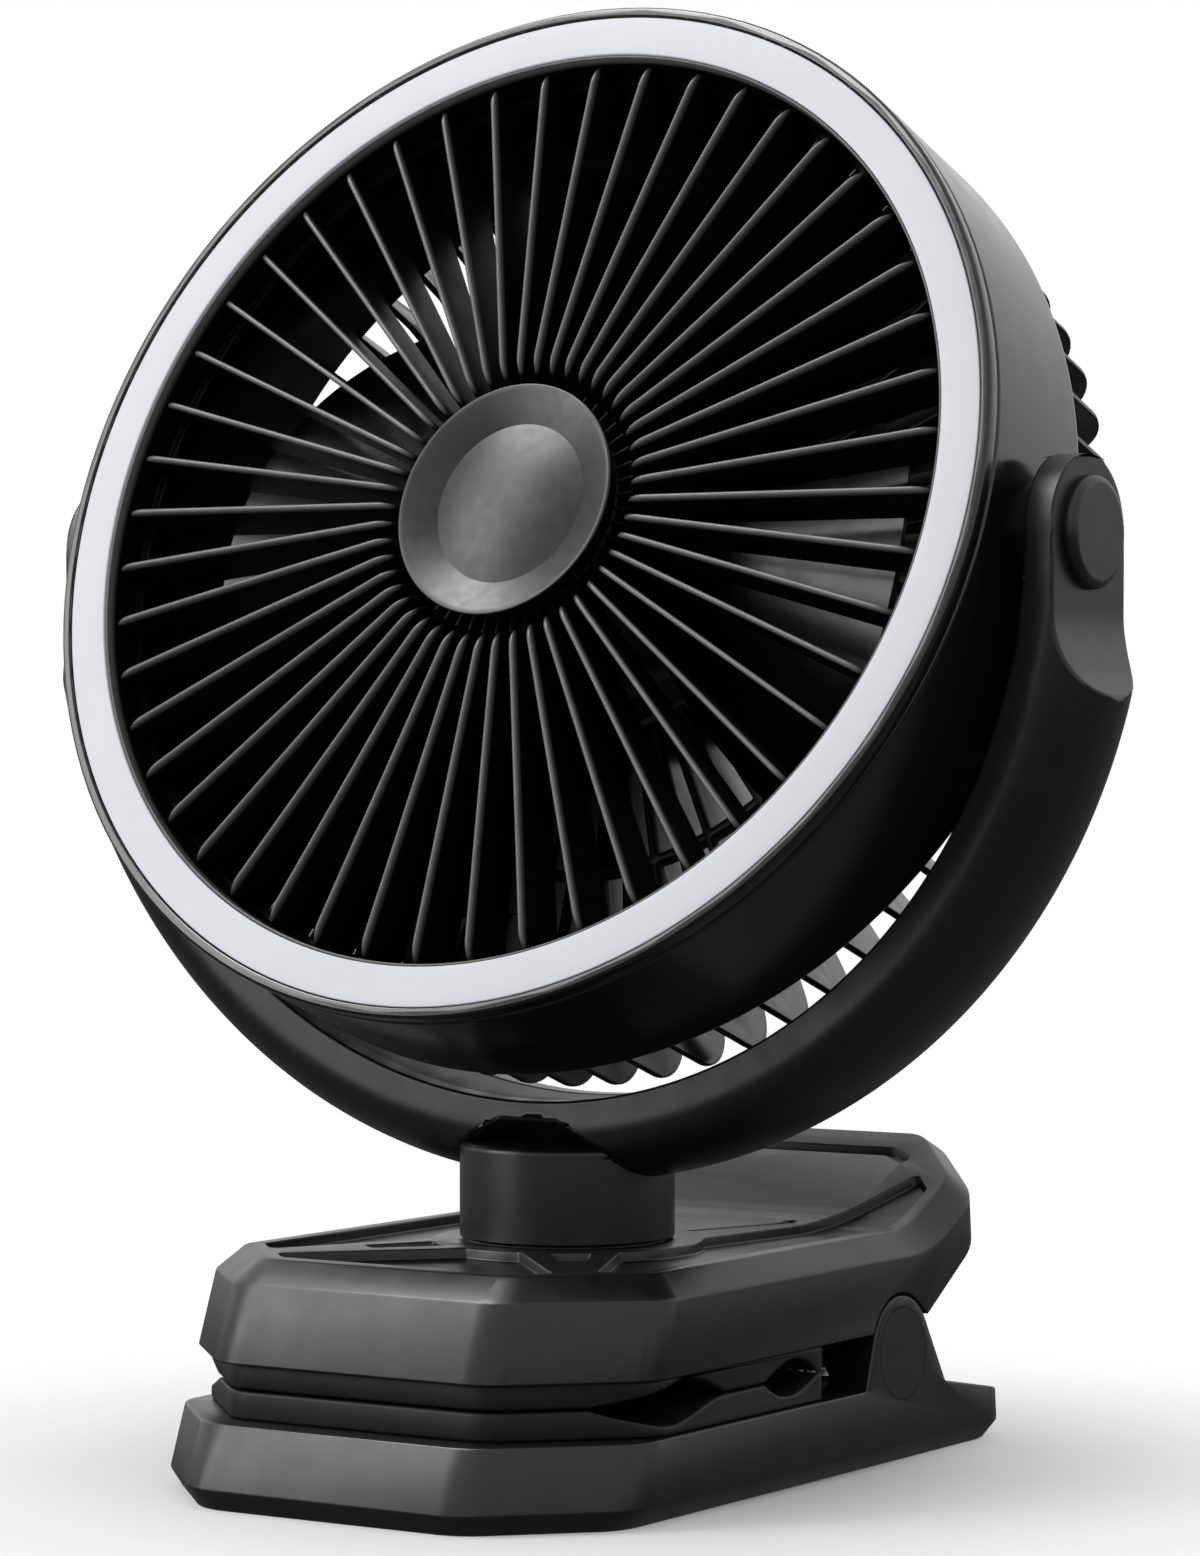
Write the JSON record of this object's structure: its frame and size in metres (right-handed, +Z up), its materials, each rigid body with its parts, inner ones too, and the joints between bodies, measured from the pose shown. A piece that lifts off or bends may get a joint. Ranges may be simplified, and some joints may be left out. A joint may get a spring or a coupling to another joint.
{
  "type": "clip-on fan",
  "caption": "Clip-on desk fan with a round ring light, tilting head in a half-ring yoke, swivel neck and sprung clamp base with rubber pads.",
  "frame": {"origin": "middle of the clip's footprint on the surface it stands on", "axes": "+Z up, -Y the way the fan blows and the clamp's mouth opens, +X to the fan's right as seen from the front camera side, tilt and hinge axes along X"},
  "size_m": [0.222, 0.1574, 0.2642],
  "materials": {
    "black_plastic": "satin",
    "grille_plastic": "satin",
    "rotor_plastic": "satin",
    "rubber": "matte",
    "hub_metal": "satin metallic",
    "lens": "frosted, flat",
    "tray_plastic": "matte",
    "board": "satin",
    "chip": "matte",
    "steel": "plain",
    "motor_steel": "plain",
    "bush_plastic": "matte",
    "cell_wrap": "film",
    "light_pipe": "clear tint",
    "button_plastic": "satin"
  },
  "bodies": {
    "base": {"lower_jaw": "black_plastic", "base_plate": "black_plastic", "base_feet": "rubber", "base_screws": "steel", "ballast_plate": "steel", "hinge_pin": "steel", "hinge_caps": "black_plastic", "spring_sleeves": "bush_plastic", "jaw_springs": "steel", "lower_pad": "rubber"},
    "upper_jaw": {"upper_jaw": "black_plastic", "upper_pad": "rubber", "jaw_cover": "black_plastic", "cover_screws": "steel", "battery_cells": "cell_wrap", "charge_board": "board", "charge_port": "steel", "indicator_light": "light_pipe", "swivel_bush": "bush_plastic"},
    "yoke": {"neck_post": "black_plastic", "swivel_retainer": "bush_plastic", "yoke": "black_plastic", "yoke_liner": "rubber", "yoke_screws": "steel", "pivot_caps": "black_plastic"},
    "head": {"drum_housing": "black_plastic", "bezel_ring": "black_plastic", "light_diffuser": "lens", "light_tray": "tray_plastic", "light_board": "board", "light_chips": "chip", "front_grille": "grille_plastic", "hub_cap": "hub_metal", "rear_grille": "black_plastic", "rear_hub": "black_plastic", "grille_screws": "steel", "control_board": "board", "button_switches": "button_plastic", "motor_mount": "motor_steel", "motor_can": "motor_steel", "motor_bearings": "steel", "pivot_pins": "steel", "pivot_washers": "bush_plastic"},
    "rotor": {"fan_rotor": "rotor_plastic", "motor_shaft": "steel"},
    "power_button": {"power_button": "button_plastic"},
    "light_button": {"light_button": "button_plastic"}
  },
  "joints": [
    {"name": "clamp_open", "type": "hinge", "parent": "base", "child": "upper_jaw", "pos_m": [0, 0.03365, 0.0199], "axis": [-1, 0, 0], "range_deg": [0, 21], "stiffness_Nm_per_rad": 2, "springref_deg": -28.65, "deforming": ["jaw_springs"]},
    {"name": "swivel", "type": "hinge", "parent": "upper_jaw", "child": "yoke", "pos_m": [0, -0.00375, 0.0414], "axis": [0, 0, 1], "range_deg": [-170, 170]},
    {"name": "tilt", "type": "hinge", "parent": "yoke", "child": "head", "pos_m": [0, -0.00375, 0.1664], "axis": [-1, 0, 0], "range_deg": [-65, 70]},
    {"name": "rotor_spin", "type": "hinge", "parent": "head", "child": "rotor", "pos_m": [0, -0.00375, 0.1664], "axis": [0, -0.9397, 0.342], "continuous": true},
    {"name": "power_press", "type": "slide", "parent": "head", "child": "power_button", "axis": [0, -0.9397, 0.342], "range_m": [0, 0.0012], "stiffness_N_per_m": 800, "springref_m": -0.0008},
    {"name": "light_press", "type": "slide", "parent": "head", "child": "light_button", "axis": [0, -0.9397, 0.342], "range_m": [0, 0.0012], "stiffness_N_per_m": 800, "springref_m": -0.0008}
  ]
}
